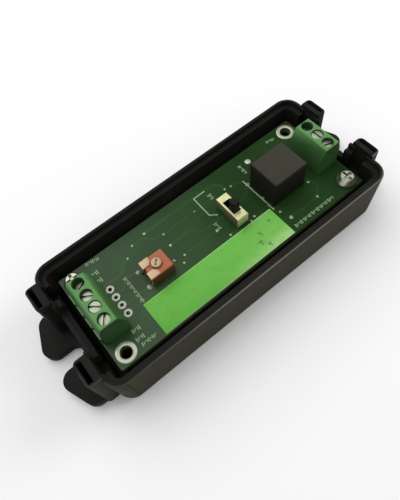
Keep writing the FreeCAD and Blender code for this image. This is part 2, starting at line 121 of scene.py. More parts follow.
class BoardSettings(bpy.types.PropertyGroup):
    """The circuit board, its tracks and its printed marks."""
    mask: colour_property("Mask colour", "Green of the solder mask", (0.0195, 0.054, 0.0145))
    track: colour_property("Track colour", "Green where copper lies under the mask", (0.028, 0.077, 0.020))
    laminate: colour_property("Edge colour", "Cut edge of the laminate", (0.16, 0.19, 0.07))
    print_colour: colour_property("Print colour", "Pale print on the board", (0.37, 0.55, 0.30))
    patch: colour_property("Patch colour", "Lime green of the bare patch", (0.118, 0.418, 0.047))
    patch_pale: colour_property("Pale patch colour", "Washed-out green at the patch's edge",
                                (0.34, 0.62, 0.20))
    patch_speck: colour_property("Patch speck colour", "Dark marks and specks on the patch",
                                 (0.024, 0.09, 0.012))
    patch_rim: colour_property("Patch rim colour", "Nearly white line along the patch's long edges",
                               (0.62, 0.78, 0.50))
    tin: colour_property("Tin colour", "Tinned pads and rings", (0.41, 0.42, 0.32))
    via: colour_property("Via colour", "Small vias, half covered by the mask", (0.22, 0.29, 0.16))
    track_height: length_property("Track height", "How far a track stands up under the mask", 0.03 * MM)
    print_height: length_property("Print height", "How far the print stands over the board", 0.045 * MM)
    print_width: length_property("Print width", "Width of a printed line", 0.26 * MM)
    tick_width: length_property("Tick width", "Width of the ticks that stand for captions", 0.195 * MM)
    tick_pitch: length_property("Tick pitch", "Spacing of the ticks that stand for captions", 0.46 * MM)


class TerminalSettings(bpy.types.PropertyGroup):
    """The screw terminals."""
    colour: colour_property("Terminal colour", "Green of the terminal mouldings", (0.068, 0.184, 0.052))
    metal: colour_property("Screw colour", "Plated steel of the terminal screws", (0.29, 0.32, 0.24))
    brass: colour_property("Frame colour", "Tinned brass of the clamp frames", (0.50, 0.44, 0.28))
    brass_pale: colour_property("Pale frame colour", "Tinned brass where the tin is thicker",
                                (0.74, 0.70, 0.56))
    edge: length_property("Edge radius", "Rounding of the moulding's edges", 0.14 * MM)


class PartsSettings(bpy.types.PropertyGroup):
    """Transformer, switch, trimmer and board screws."""
    transformer: colour_property("Transformer colour", "Matte black of the moulded block",
                                 (0.040, 0.038, 0.027))
    shell: colour_property("Shell colour", "Pressed metal of the switch shell", (0.62, 0.61, 0.33))
    lever: colour_property("Lever colour", "Black of the switch lever", (0.008, 0.0075, 0.0065))
    trimmer: colour_property("Trimmer colour", "Salmon of the trimmer's body", (0.36, 0.115, 0.052))
    # Painted shade: the trimmer's sides get this brown
    trimmer_shaded_side: colour_property("Trimmer side colour", "Brown of the trimmer's sides",
                                  (0.108, 0.0391, 0.01768))
    contact: colour_property("Contact colour", "Gilt of the trimmer's contacts", (0.36, 0.25, 0.155))
    rotor: colour_property("Rotor colour", "Duller gilt of the trimmer's rotor", (0.31, 0.225, 0.125))
    screw: colour_property("Screw colour", "Bright plating of the board screws", (0.36, 0.38, 0.30))
    steps: IntProperty(name="Turning steps", description="Segments round a turned piece", default=32,
                       min=12, max=96)


class StageSettings(bpy.types.PropertyGroup):
    """Camera, lamps and floor."""
    camera_place: FloatVectorProperty(name="Camera place", description="Where the camera stands",
                                      default=(-0.03168, -0.04685, 0.10787), unit="LENGTH", precision=5)
    camera_aim: FloatVectorProperty(name="Camera aim", description="Point at the middle of the picture",
                                    default=(-0.00623, -0.00202, 0.01150), unit="LENGTH", precision=5)
    roll: FloatProperty(name="Roll", description="Turn of the camera about its own line of sight",
                        default=math.radians(-10.4156), unit="ROTATION")
    photo_focal: FloatProperty(name="Focal length", description="Focal length in the photograph's pixels",
                               default=232.104, min=1)
    zoom: FloatProperty(name="Zoom", description="Enlargement of the object over the photograph",
                        default=1.95, min=0.1)
    floor: colour_property("Floor colour", "Pale floor under the object", (0.93, 0.93, 0.93))
    surround: FloatProperty(name="Surround", description="Strength of the even light all round", default=0.42,
                            min=0)
    key: FloatProperty(name="Key lamp", description="Power of the large lamp behind the object", default=2.6,
                       min=0, unit="POWER")
    side: FloatProperty(name="Side lamp", description="Power of the lamp at the far end", default=1.3, min=0,
                        unit="POWER")
    fill: FloatProperty(name="Fill lamp", description="Power of the weak lamp at the near end", default=0.25,
                        min=0, unit="POWER")


SETTINGS = {"case": CaseSettings, "board": BoardSettings, "terminals": TerminalSettings,
            "parts": PartsSettings, "stage": StageSettings}


def settings(group):
    """The user's values of one group."""
    return getattr(bpy.context.scene, "balun_" + group)


# Finishes


class Level:
    """A number socket; arithmetic on it adds maths nodes to the material."""

    def __init__(self, finish, socket):
        self.finish = finish
        self.socket = socket

    def maths(self, operation, *values):
        """One maths node on these values."""
        node = self.finish.node("ShaderNodeMath", {"operation": operation}, dict(enumerate(values)))
        return Level(self.finish, node.outputs[0])

    def __add__(self, other):
        return self.maths("ADD", self, other)

    def __radd__(self, other):
        return self.maths("ADD", other, self)

    def __sub__(self, other):
        return self.maths("SUBTRACT", self, other)

    def __rsub__(self, other):
        return self.maths("SUBTRACT", other, self)

    def __mul__(self, other):
        return self.maths("MULTIPLY", self, other)

    def __rmul__(self, other):
        return self.maths("MULTIPLY", other, self)

    def __truediv__(self, other):
        return self.maths("DIVIDE", self, other)

    def __pow__(self, other):
        return self.maths("POWER", self, other)

    def __abs__(self):
        return self.maths("ABSOLUTE", self)

    def spread(self, low, high):
        """0 below low, 1 above high, smooth between."""
        smooth = {"interpolation_type": "SMOOTHSTEP"}
        node = self.finish.node("ShaderNodeMapRange", smooth, {0: self, 1: low, 2: high, 3: 0.0, 4: 1.0})
        return Level(self.finish, node.outputs[0])


class Finish:
    """One procedural material, read from the object's own coordinates."""

    def __init__(self, name, roughness=0.5, metallic=0.0, specular=0.5):
        self.material = bpy.data.materials.new(name)
        self.material.use_nodes = True
        self.tree = self.material.node_tree
        self.shader = self.tree.nodes["Principled BSDF"]
        self.shader.inputs["Roughness"].default_value = roughness
        self.shader.inputs["Metallic"].default_value = metallic
        self.shader.inputs["Specular IOR Level"].default_value = specular
        self.place = self.node("ShaderNodeTexCoord").outputs["Object"]

    def feed(self, socket, value):
        """Links or sets one socket."""
        if isinstance(value, Level):
            value = value.socket
        if isinstance(value, bpy.types.NodeSocket):
            self.tree.links.new(value, socket)
        elif hasattr(value, "__len__") and len(value) == 3 and socket.type == "RGBA":
            socket.default_value = (*value, 1.0)
        else:
            socket.default_value = value

    def node(self, kind, choices=None, values=None):
        """Any node: its choices are set first, then its sockets."""
        node = self.tree.nodes.new(kind)
        for key, choice in (choices or {}).items():
            setattr(node, key, choice)
        for key, value in (values or {}).items():
            self.feed(node.inputs[key], value)
        return node

    def noise(self, size, detail=3.0, roughness=0.55, place=None):
        """Cloudy noise whose lumps are about size across, between 0 and 1."""
        node = self.node("ShaderNodeTexNoise", {}, {"Vector": place or self.place, "Scale": 1.0 / size,
                                                    "Detail": detail, "Roughness": roughness})
        return Level(self, node.outputs["Fac"])

    def grains(self, size):
        """Distance from the middle of random cells of one size."""
        node = self.node("ShaderNodeTexVoronoi", {}, {"Vector": self.place, "Scale": 1.0 / size})
        return Level(self, node.outputs["Distance"])

    def stretched(self, scale):
        """The object's coordinates, scaled along each axis."""
        return self.node("ShaderNodeMapping", {}, {"Vector": self.place, "Scale": scale}).outputs[0]

    def axes(self):
        """The object's coordinates as three numbers."""
        node = self.node("ShaderNodeSeparateXYZ", {}, {0: self.place})
        return [Level(self, socket) for socket in node.outputs]

    def facing(self, axis):
        """How much a face looks along an axis, from -1 to 1."""
        normal = self.node("ShaderNodeNewGeometry").outputs["Normal"]
        return Level(self, self.node("ShaderNodeSeparateXYZ", {}, {0: normal}).outputs[axis])

    def mix(self, mask, low, high):
        """A colour between two colours."""
        node = self.node("ShaderNodeMix", {"data_type": "RGBA"}, {0: mask, 6: low, 7: high})
        return node.outputs[2]

    def bump(self, height, depth):
        """Raises the surface by a height pattern of that depth."""
        node = self.node("ShaderNodeBump", {}, {"Height": height, "Distance": depth, "Strength": 1.0})
        self.feed(self.shader.inputs["Normal"], node.outputs[0])

    def fade_out(self, amount):
        """Shows plain white instead of the surface, by an amount from 0 to 1, and lights nothing with it."""
        rays = self.node("ShaderNodeLightPath").outputs
        seen = sum((Level(self, rays[kind]) for kind in SEEN_RAYS[1:]), Level(self, rays[SEEN_RAYS[0]]))
        white = self.node("ShaderNodeEmission", {}, {"Color": (1.0, 1.0, 1.0), "Strength": 1.0})
        both = {0: amount * seen, 1: self.shader.outputs[0], 2: white.outputs[0]}
        mixed = self.node("ShaderNodeMixShader", {}, both)
        self.feed(self.tree.nodes["Material Output"].inputs["Surface"], mixed.outputs[0])

    def set(self, **values):
        """Feeds the shader's sockets, named with underscores for spaces."""
        for key, value in values.items():
            self.feed(self.shader.inputs[key.replace("_", " ")], value)
        return self


def shade(colour, share):
    """A colour made darker or lighter."""
    return [min(1.0, part * share) for part in colour]


def shades(colour, low, high):
    """Two tones of one colour."""
    return shade(colour, low), shade(colour, high)


def moulded_black():
    """Black moulding with a fine grain, rubbed paler in places, with painted light that makes its outer walls
    paler and warmer than the shaded inner ones, and a painted highlight along its rim.
    """
    user = settings("case")
    finish = Finish("moulded_black", specular=0.07)
    grain = finish.noise(user.grain, 4.0)
    cloud = finish.noise(9 * MM, 3.0)
    scuffs = finish.noise(0.8 * MM, 5.0, 0.7, finish.stretched((0.18, 1.0, 1.0)))
    x, y = finish.axes()[:2]
    half_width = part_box("case_base")[1].y
    # Painted light: faces that look outwards on the long sides get the paler, warmer wall colour; inner faces
    # stay dark as shade
    outer_wall_light_mask = (finish.facing(1) * y / half_width).spread(0.3, 0.85)
    rubbed = cloud.spread(0.45, 0.8) * 0.22 + scuffs.spread(0.6, 0.8) * 0.22
    walls = finish.mix(outer_wall_light_mask, user.colour, user.side)
    body = finish.mix(rubbed, walls, user.worn)
    # Painted highlight along the rim, where a face leans half over, as on a rounded edge: along the sides,
    # and paler far along
    lean = finish.facing(2)
    rounded = (lean * lean * (1 - lean * lean) * 4).spread(0.35, 0.95) * lean.spread(0.1, 0.3)
    sides = (abs(y) / half_width).spread(0.5, 0.62) * (0.3 + 0.7 * x.spread(-38 * MM, -4 * MM))
    finish.set(Base_Color=finish.mix(rounded * sides * (0.55 + 0.45 * cloud), body, user.painted_rim_highlight),
               Roughness=user.roughness - 0.06 + 0.16 * grain + 0.08 * cloud)
    finish.bump(grain + finish.grains(user.grain * 1.6) * 0.4, 0.03 * MM)
    return finish.material


def painted_far_shade(finish, colour, tone):
    """A board colour with painted shade that goes darker towards the far end, under a coat of gloss that ends
    on the way.
    """
    x = finish.axes()[0]
    finish.set(Coat_Weight=0.32 - 0.32 * x.spread(-32 * MM, 14 * MM), Coat_Roughness=0.3)
    # Painted shade: the colour darkens from the middle towards the far end
    return finish.mix(x.spread(-6 * MM, 20 * MM) * 0.34, colour, shade(tone, 0.55))


def solder_mask():
    """Glossy green mask over laminate, with the cut edge showing at the sides."""
    user = settings("board")
    finish = Finish("solder_mask", specular=0.03)
    weave_x = finish.noise(0.5 * MM, 2.0, 0.5, finish.stretched((0.12, 1.0, 1.0)))
    weave_y = finish.noise(0.5 * MM, 2.0, 0.5, finish.stretched((1.0, 0.12, 1.0)))
    cloud = finish.noise(14 * MM, 2.0)
    flow = cloud.spread(0.35, 0.7) * 0.5 + weave_x * 0.25 + weave_y * 0.25
    face = abs(finish.facing(2)).spread(0.3, 0.7)
    glass = finish.noise(0.18 * MM, 2.0, 0.5, finish.stretched((0.4, 0.4, 3.0)))
    laminate = finish.mix(glass, *shades(user.laminate, 0.6, 1.0))
    # Painted shade: the mask's green darkens towards the far end
    green = painted_far_shade(finish, finish.mix(flow, *shades(user.mask, 0.78, 1.22)), user.mask)
    finish.set(Base_Color=finish.mix(face, laminate, green), Roughness=0.62 - 0.3 * face + 0.08 * weave_x)
    finish.bump(weave_x + weave_y, 0.006 * MM)
    return finish.material


def covered_track():
    """Copper seen through the solder mask."""
    user = settings("board")
    finish = Finish("covered_track", specular=0.03)
    cloud = finish.noise(3 * MM, 3.0)
    # Painted shade: the tracks' green darkens towards the far end
    green = painted_far_shade(finish, finish.mix(cloud, user.mask, user.track), user.track)
    finish.set(Base_Color=green, Roughness=0.3 + 0.1 * cloud)
    finish.bump(finish.noise(0.4 * MM), 0.005 * MM)
    return finish.material


def board_print():
    """Pale print, thin in places."""
    user = settings("board")
    finish = Finish("board_print")
    thin = finish.noise(0.35 * MM, 4.0).spread(0.3, 0.62)
    finish.set(Base_Color=finish.mix(thin, shade(user.print_colour, 0.5), user.print_colour),
               Roughness=0.6 + 0.2 * thin)
    finish.bump(finish.noise(0.15 * MM), 0.008 * MM)
    return finish.material


def lime_film():
    """Lime green film, washed out at its far corner, blotched, and pale along both long edges."""
    user = settings("board")
    low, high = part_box("board_patch")
    finish = Finish("lime_film", specular=0.2)
    x, y = finish.axes()[:2]
    along = (x - low.x) / (high.x - low.x)
    across = (y - low.y) / (high.y - low.y)
    cloud = finish.noise(3.2 * MM, 3.0)
    specks = finish.noise(0.42 * MM, 3.0).spread(0.60, 0.68) * finish.noise(5 * MM, 2.0).spread(0.48, 0.62)
    blotch = finish.noise(1.6 * MM, 4.0, 0.6).spread(0.42, 0.75)
    pale = (1 - across).spread(0.6, 1.0) * along.spread(0.3, 1.0) * 0.75 + cloud.spread(0.5, 0.8) * 0.12
    lime = finish.mix(pale + along.spread(0.5, 1.0) * 0.22, user.patch, user.patch_pale)
    lime = finish.mix(blotch * 0.24, lime, shade(user.patch, 0.62))
    lime = finish.mix(specks * 0.45, lime, user.patch_speck)
    rims = abs(across - 0.5).spread(0.478, 0.492) * (0.35 + 0.65 * along)
    finish.set(Base_Color=finish.mix(rims * 0.8, lime, user.patch_rim), Roughness=0.4 + 0.14 * cloud)
    finish.bump(cloud + finish.noise(0.4 * MM) * 0.25, 0.03 * MM)
    return finish.material


def patch_ink():
    """Dark marks on the patch, worn in places."""
    user = settings("board")
    finish = Finish("patch_ink")
    worn = finish.noise(0.3 * MM, 3.0).spread(0.45, 0.7)
    finish.set(Base_Color=finish.mix(worn * 0.4, user.patch_speck, user.patch), Roughness=0.5 + 0.2 * worn)
    finish.bump(worn, 0.005 * MM)
    return finish.material


def tinned(name="tinned_copper", colour=None):
    """Bright tin over copper, softly rippled. Made once and shared."""
    made = bpy.data.materials.get(name)
    if made:
        return made
    finish = Finish(name, metallic=0.45)
    ripple = finish.noise(0.3 * MM, 3.0)
    tones = shades(colour or settings("board").tin, 0.86, 1.0)
    finish.set(Base_Color=finish.mix(ripple, *tones), Roughness=0.24 + 0.18 * ripple)
    finish.bump(ripple, 0.015 * MM)
    return finish.material


def bright_plating():
    """Bright plated steel of the board screws, with fine turning lines."""
    user = settings("parts")
    finish = Finish("bright_plating", metallic=0.8)
    cloud = finish.noise(1.4 * MM, 3.0)
    lines = finish.noise(0.12 * MM, 2.0, 0.5, finish.stretched((0.3, 0.3, 3.0)))
    finish.set(Base_Color=finish.mix(cloud, *shades(user.screw, 0.8, 1.05)),
               Roughness=0.16 + 0.12 * cloud + 0.05 * lines)
    finish.bump(cloud + lines * 0.2, 0.008 * MM)
    return finish.material


def moulded_green():
    """Green terminal moulding, slightly waxy, with painted light: paler on its upper faces, and its other
    faces painted dark as shade, darkest high up.
    """
    user = settings("terminals")
    finish = Finish("moulded_green", specular=0.22)
    grain = finish.noise(0.22 * MM, 3.0)
    cloud = finish.noise(3.5 * MM, 2.0)
    # Painted light: upward faces get the pale tones, and the rest get painted shade that is deepest high up
    # the sides
    terminal_top_light = finish.facing(2).spread(0.1, 0.9)
    raised = finish.axes()[2].spread(board_level(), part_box("terminal_housing_far")[1].z)
    terminal_side_shade = finish.mix(cloud, *shades(user.colour, 0.27, 0.38))
    terminal_side_shade = finish.mix(raised * 0.8 + 0.15, shade(user.colour, 0.8), terminal_side_shade)
    pale = finish.mix(cloud, *shades(user.colour, 1.15, 1.4))
    finish.set(Base_Color=finish.mix(terminal_top_light, terminal_side_shade, pale), Roughness=0.38 + 0.16 * grain)
    finish.bump(grain, 0.012 * MM)
    return finish.material


def plated_steel():
    """Dull plating on the terminal screws and clamp plates."""
    user = settings("terminals")
    finish = Finish("plated_steel", metallic=0.8)
    cloud = finish.noise(0.5 * MM, 4.0)
    scratches = finish.noise(0.1 * MM, 3.0, 0.6, finish.stretched((0.15, 1.0, 1.0)))
    finish.set(Base_Color=finish.mix(cloud, *shades(user.metal, 0.72, 1.0)),
               Roughness=0.26 + 0.16 * cloud + 0.1 * scratches)
    finish.bump(cloud + scratches * 0.5, 0.01 * MM)
    return finish.material


def plated_brass():
    """Tinned brass of the clamp frames."""
    user = settings("terminals")
    finish = Finish("plated_brass", metallic=0.9)
    cloud = finish.noise(0.6 * MM, 4.0)
    finish.set(Base_Color=finish.mix(cloud, user.brass, user.brass_pale), Roughness=0.28 + 0.2 * cloud)
    finish.bump(cloud, 0.01 * MM)
    return finish.material


def matte_block():
    """Matte moulding compound of the transformer, with painted light: a pale top, and its other faces painted
    dark as shade.
    """
    user = settings("parts")
    finish = Finish("matte_block", specular=0.11)
    grain = finish.noise(0.16 * MM, 4.0)
    cloud = finish.noise(2.6 * MM, 3.0)
    # Painted light: the upward faces get the pale tone and the sides a much darker one as shade
    top = finish.facing(2).spread(0.6, 0.95)
    dark = finish.mix(cloud, *shades(user.transformer, 0.16, 0.26))
    block_top_light = finish.mix(cloud, *shades(user.transformer, 0.88, 1.12))
    finish.set(Base_Color=finish.mix(top, dark, block_top_light), Roughness=0.62 + 0.2 * grain)
    finish.bump(grain, 0.02 * MM)
    return finish.material


def black_moulding():
    """Plain black moulding of the switch's base and lever."""
    user = settings("parts")
    finish = Finish("switch_moulding", specular=0.1)
    grain = finish.noise(0.12 * MM, 3.0)
    cloud = finish.noise(0.9 * MM, 3.0)
    finish.set(Base_Color=finish.mix(cloud, *shades(user.lever, 0.7, 1.4)), Roughness=0.42 + 0.2 * grain)
    finish.bump(grain, 0.01 * MM)
    return finish.material


def pressed_metal():
    """Bright yellowish shell of the switch, brushed along its length, with its faces that look along the x
    axis painted dark as shade.
    """
    user = settings("parts")
    finish = Finish("pressed_metal", metallic=0.25)
    brush = finish.noise(0.12 * MM, 3.0, 0.6, finish.stretched((1.0, 0.08, 0.4)))
    cloud = finish.noise(1.6 * MM, 2.0)
    # Painted shade: faces that look along the x axis get a dark tone of the shell
    shaded_flank = abs(finish.facing(0)).spread(0.4, 0.9)
    bright = finish.mix(cloud, *shades(user.shell, 0.88, 1.0))
    finish.set(Base_Color=finish.mix(shaded_flank, bright, shade(user.shell, 0.22)),
               Roughness=0.26 + 0.14 * brush + 0.06 * cloud)
    finish.bump(brush, 0.008 * MM)
    return finish.material


def salmon_moulding():
    """Salmon body of the trimmer, with its sides painted a darker brown as shade."""
    user = settings("parts")
    finish = Finish("salmon_moulding", specular=0.2)
    grain = finish.noise(0.14 * MM, 3.0)
    cloud = finish.noise(1.2 * MM, 3.0)
    # Painted shade: only upward faces keep the salmon; the sides get the darker brown
    top = finish.facing(2).spread(0.5, 0.95)
    face = finish.mix(cloud, *shades(user.trimmer, 0.9, 1.14))
    finish.set(Base_Color=finish.mix(top, user.trimmer_shaded_side, face), Roughness=0.4 + 0.16 * grain)
    finish.bump(grain, 0.012 * MM)
    return finish.material


def gilt(name, colour):
    """Gilt sheet of the trimmer's contacts and rotor."""
    finish = Finish(name, metallic=0.55)
    cloud = finish.noise(0.7 * MM, 3.0)
    finish.set(Base_Color=finish.mix(cloud, *shades(colour, 0.84, 1.05)), Roughness=0.24 + 0.18 * cloud)
    finish.bump(cloud, 0.012 * MM)
    return finish.material


# Tools for meshes


def body_of_node(node):
    """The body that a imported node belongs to."""
    for body, nodes in frame["record"]["behaviour"]["bodies"].items():
        if node in nodes:
            return body
    raise RuntimeError("no body holds " + node)


def nodes_starting(*starts):
    """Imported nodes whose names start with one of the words."""
    return [name for name in sorted(frame["nodes"]) if name.startswith(starts)]


def paint(node, material):
    """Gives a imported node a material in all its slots."""
    item = frame["nodes"][node]
    if not item.material_slots:
        item.data.materials.append(material)
    for slot in item.material_slots:
        slot.material = material


def new_piece(name, bm, material, body, crease=35.0):
    """Turns a bmesh into a piece that rides on a body, smooth but for its creases."""
    for face in bm.faces:
        face.smooth = True
    for edge in bm.edges:
        if len(edge.link_faces) == 2:
            edge.smooth = edge.calc_face_angle(0.0) < math.radians(crease)
    mesh = bpy.data.meshes.new(name)
    bm.to_mesh(mesh)
    bm.free()
    mesh.materials.append(material)
    item = bpy.data.objects.new(name, mesh)
    bpy.context.scene.collection.objects.link(item)
    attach(item, body)
    return item


def merged_copy(node):
    """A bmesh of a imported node, with its loose triangles joined."""
    bm = bmesh.new()
    bm.from_mesh(frame["nodes"][node].data)
    bmesh.ops.remove_doubles(bm, verts=bm.verts, dist=JOIN_DISTANCE)
    return bm


def dressed(node, material, edge=0.0, crease=30.0, sharp=50.0, whole=True):
    """Puts a smooth copy of a node in its place, with its sharp edges rounded where a radius is given.

    Flat faces are made whole first, but not on a crossed recess, whose corners round better as triangles.
    """
    bm = merged_copy(node)
    if edge > 0 and whole:
        bmesh.ops.dissolve_limit(bm, angle_limit=FLAT_ANGLE, verts=bm.verts, edges=bm.edges,
                                 delimit={"NORMAL"})
    if edge > 0:
        corners = [line for line in bm.edges
                   if len(line.link_faces) == 2 and line.calc_face_angle(0.0) > math.radians(sharp)]
        bmesh.ops.bevel(bm, geom=corners, offset=edge, offset_type="OFFSET", segments=EDGE_STEPS,
                        profile=0.5, affect="EDGES", clamp_overlap=True, material=-1)
    piece = new_piece("dressed_" + node, bm, material, body_of_node(node), crease)
    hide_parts(node)


def strip(bm, points, width, height):
    """A flat run through several points: one outline with mitred bends, raised by a height."""
    points = [Vector(point) for point in points]
    left, right = [], []
    for i, point in enumerate(points):
        arrive = (point - points[i - 1]).normalized() if i > 0 else None
        leave = (points[i + 1] - point).normalized() if i + 1 < len(points) else None
        along = ((arrive or leave) + (leave or arrive)).normalized()
        reach = width / 2 / max(MITRE_LIMIT, along.dot(leave or arrive))
        side = Vector((-along.y, along.x, 0)) * reach
        left.append(point + side)
        right.append(point - side)
    face = bm.faces.new([bm.verts.new(corner) for corner in left[::-1] + right])
    raised = bmesh.ops.extrude_face_region(bm, geom=[face])["geom"]
    upper = [item for item in raised if isinstance(item, bmesh.types.BMVert)]
    bmesh.ops.translate(bm, vec=(0, 0, height), verts=upper)


def turned(bm, profile, place, steps):
    """A ring or button turned from a profile of (radius, height) points about an upright axis."""
    place = Vector(place)
    verts = [bm.verts.new(place + Vector((radius, 0, height))) for radius, height in profile]
    edges = []
    for i, (radius, height) in enumerate(profile):
        after = (i + 1) % len(profile)
        if radius > 0 or profile[after][0] > 0:
            edges.append(bm.edges.new((verts[i], verts[after])))
    bmesh.ops.spin(bm, geom=verts + edges, cent=place, axis=(0, 0, 1), angle=math.tau, steps=steps,
                   use_merge=True)


def close_up(bm):
    """Joins seams and poles, and points every face outwards."""
    bmesh.ops.remove_doubles(bm, verts=bm.verts, dist=JOIN_DISTANCE)
    bmesh.ops.recalc_face_normals(bm, faces=bm.faces)


def board_level():
    """Height of the board's upper face."""
    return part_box("circuit_board")[1].z


def on_board(x, y):
    """A point on the board's upper face, from millimetres."""
    return Vector((x * MM, y * MM, board_level()))


def add_ticks(bm, row, level, width, height):
    """A row of ticks of uneven height, every third one a short dash, standing on a level face."""
    x, y, length, tall, turn = row
    pitch = settings("board").tick_pitch
    middle = Vector((x * MM, y * MM, level))
    along = Vector((math.cos(math.radians(turn)), math.sin(math.radians(turn)), 0))
    up = Vector((-along.y, along.x, 0))
    count = int(length * MM / pitch)
    for i in range(count):
        spot = middle + along * (i - (count - 1) / 2) * pitch
        half = up * tall * MM / 2 * TICK_HEIGHTS[i % len(TICK_HEIGHTS)]
        if (i + 1) % DASH_EVERY == 0:
            dash = along * pitch * DASH_REACH
            ends = (spot - dash + half * DASH_HEIGHT, spot + dash + half * DASH_HEIGHT)
        else:
            ends = (spot - half, spot + half)
        strip(bm, ends, width, height)


# The steps, one for each group of pieces


class BALUN_OT_case(bpy.types.Operator):
    """Finish the moulded case"""
    bl_idname = "balun.case"
    bl_label = "Case"

    def execute(self, context):
        material = moulded_black()
        user = settings("case")
        for node in nodes_starting("case_"):
            edge = user.edge if node == "case_base" else user.fine_edge
            dressed(node, material, edge=edge, crease=28)
        return {"FINISHED"}


class BALUN_OT_board(bpy.types.Operator):
    """Finish the circuit board and add its tracks, vias and printed marks"""
    bl_idname = "balun.board"
    bl_label = "Circuit board"

    # Small vias, half covered by the mask: place and radius in millimetres, as in the next three
    vias = ((-21.0, 7.8, 0.32), (-18.1, 10.0, 0.32), (-13.8, 10.8, 0.4), (-10.3, 7.4, 0.34),
            (-10.8, 3.8, 0.4), (-9.8, -0.6, 0.32), (-11.2, -2.2, 0.3), (-0.4, 7.5, 0.26),
            (0.3, -0.6, 0.42), (2.1, -3.7, 0.34), (9.95, -3.6, 0.34), (8.5, -4.1, 0.28),
            (9.7, 7.6, 0.34), (11.5, 7.25, 0.3), (15.4, -1.0, 0.4), (15.5, -6.8, 0.36),
            (16.5, -9.8, 0.55), (25.5, -9.7, 0.44), (27.0, -5.0, 0.4), (15.2, -0.9, 0.36))
    # Open plated holes, one that is filled with bright solder, and the dull solder at the trimmer's feet
    pads = ((15.0, 4.7, 0.55), (14.8, -3.7, 0.5))
    filled = ((20.0, 10.3, 0.8),)
    feet = ((-21.2, 3.1, 0.6), (-21.2, -1.8, 0.7), (-12.8, -0.1, 0.45))
    # Printed lines, each a run of points in millimetres
    lines = (((5.4, 10.6), (1.8, 10.6), (1.7, 4.1), (3.4, 2.8)), ((14.8, 6.4), (14.8, -5.4)))
    # Rows of ticks for captions: middle, length and height in millimetres, and turn in degrees
    captions = ((-28.1, 12.9, 4.0, 1.0, -10), (-29.5, 9.7, 2.4, 1.3, 0), (-29.8, 7.4, 2.4, 1.3, 0),
                (-24.5, 0.0, 8.4, 1.0, -90), (-29.6, -8.2, 2.6, 1.2, 0), (-30.0, -10.4, 2.6, 1.2, 0),
                (-28.6, -12.0, 4.2, 1.0, 0), (21.8, -12.4, 13.0, 1.1, 0), (17.2, 9.2, 3.6, 1.0, -90),
                (1.2, 0.3, 2.6, 1.0, -90), (5.5, 8.2, 2.3, 1.3, -90), (29.2, 11.5, 2.8, 0.9, -10))
    # Tracks, each a run of points and a width in millimetres
    tracks = ((((-30.0, 5.25), (-24.5, 5.25), (-22.0, 7.75), (-21.0, 7.8)), 1.1),
              (((-30.0, 1.75), (-26.2, 1.75), (-24.6, 3.4), (-20.2, 3.4)), 0.8),
              (((-30.0, -1.75), (-20.2, -1.75)), 0.8),
              (((-28.8, -3.8), (-18.0, -3.8), (-15.5, -1.3), (-13.6, -1.3)), 0.5),
              (((-18.1, 10.0), (-15.0, 10.0), (-12.6, 7.6), (-10.3, 7.4)), 0.6),
              (((-13.8, 10.8), (8.0, 10.8), (9.6, 9.2), (9.6, 7.5)), 0.9),
              (((-10.3, 7.4), (3.4, 7.4), (4.8, 6.0)), 0.5),
              (((-10.8, 3.8), (-4.6, 3.8), (-2.4, 1.6), (4.4, 1.6)), 0.8),
              (((-9.8, -0.6), (0.3, -0.5)), 0.5),
              (((2.1, -3.6), (4.4, -3.6)), 0.6),
              (((11.5, 7.3), (13.0, 7.3), (15.2, 5.0)), 0.6),
              (((16.5, -9.9), (22.6, -9.9), (25.5, -9.7), (27.8, -7.4), (27.8, -4.4), (31.0, -3.5)), 0.8),
              (((27.0, -5.0), (27.0, 0.6), (31.0, 3.5)), 0.9),
              (((8.6, 2.2), (12.0, 2.2), (14.6, 4.6)), 0.6))

    def execute(self, context):
        user = settings("board")
        dressed("circuit_board", solder_mask())
        self.add_tracks(user)
        self.add_vias()
        self.add_print(user)
        return {"FINISHED"}

    def add_tracks(self, user):
        """Copper runs under the mask."""
        bm = bmesh.new()
        for points, width in self.tracks:
            strip(bm, [on_board(*point) for point in points], width * MM, user.track_height)
        close_up(bm)
        new_piece("board_tracks", bm, covered_track(), "unit")

    def add_vias(self):
        """Small domes at the vias and the filled holes, and tinned rings round the open ones."""
        steps = settings("parts").steps // 2
        dull, bright = shades(settings("board").tin, 0.5, 1.0)
        # Each kind of dome: its piece, its places, its height in millimetres and its finish
        domes = (("board_vias", self.vias, 0.06, tinned("covered_via", settings("board").via)),
                 ("board_solder", self.filled, 0.14, tinned("bright_tin", bright)),
                 ("trimmer_solder", self.feet, 0.2, tinned("dull_tin", dull)))
        for name, places, rise, material in domes:
            bm = bmesh.new()
            for x, y, radius in places:
                profile = [(0, 0), (0, rise * MM), (radius * 0.6 * MM, rise * 0.8 * MM), (radius * MM, 0)]
                turned(bm, profile, on_board(x, y), steps)
            close_up(bm)
            new_piece(name, bm, material, "unit")
        bm = bmesh.new()
        for x, y, radius in self.pads:
            outer = radius * MM
            profile = [(outer * 0.45, 0), (outer * 0.5, 0.08 * MM), (outer * 0.9, 0.07 * MM), (outer, 0)]
            turned(bm, profile, on_board(x, y), steps)
        close_up(bm)
        new_piece("board_pads", bm, tinned("dull_tin", dull), "unit")

    def add_print(self, user):
        """Printed outlines round the parts, and rows of plain ticks in place of captions."""
        bm = bmesh.new()
        for points in self.lines:
            strip(bm, [on_board(*point) for point in points], user.print_width, user.print_height)
        for row in self.captions:
            add_ticks(bm, row, board_level(), user.tick_width, user.print_height)
        close_up(bm)
        new_piece("board_marks", bm, board_print(), "unit")


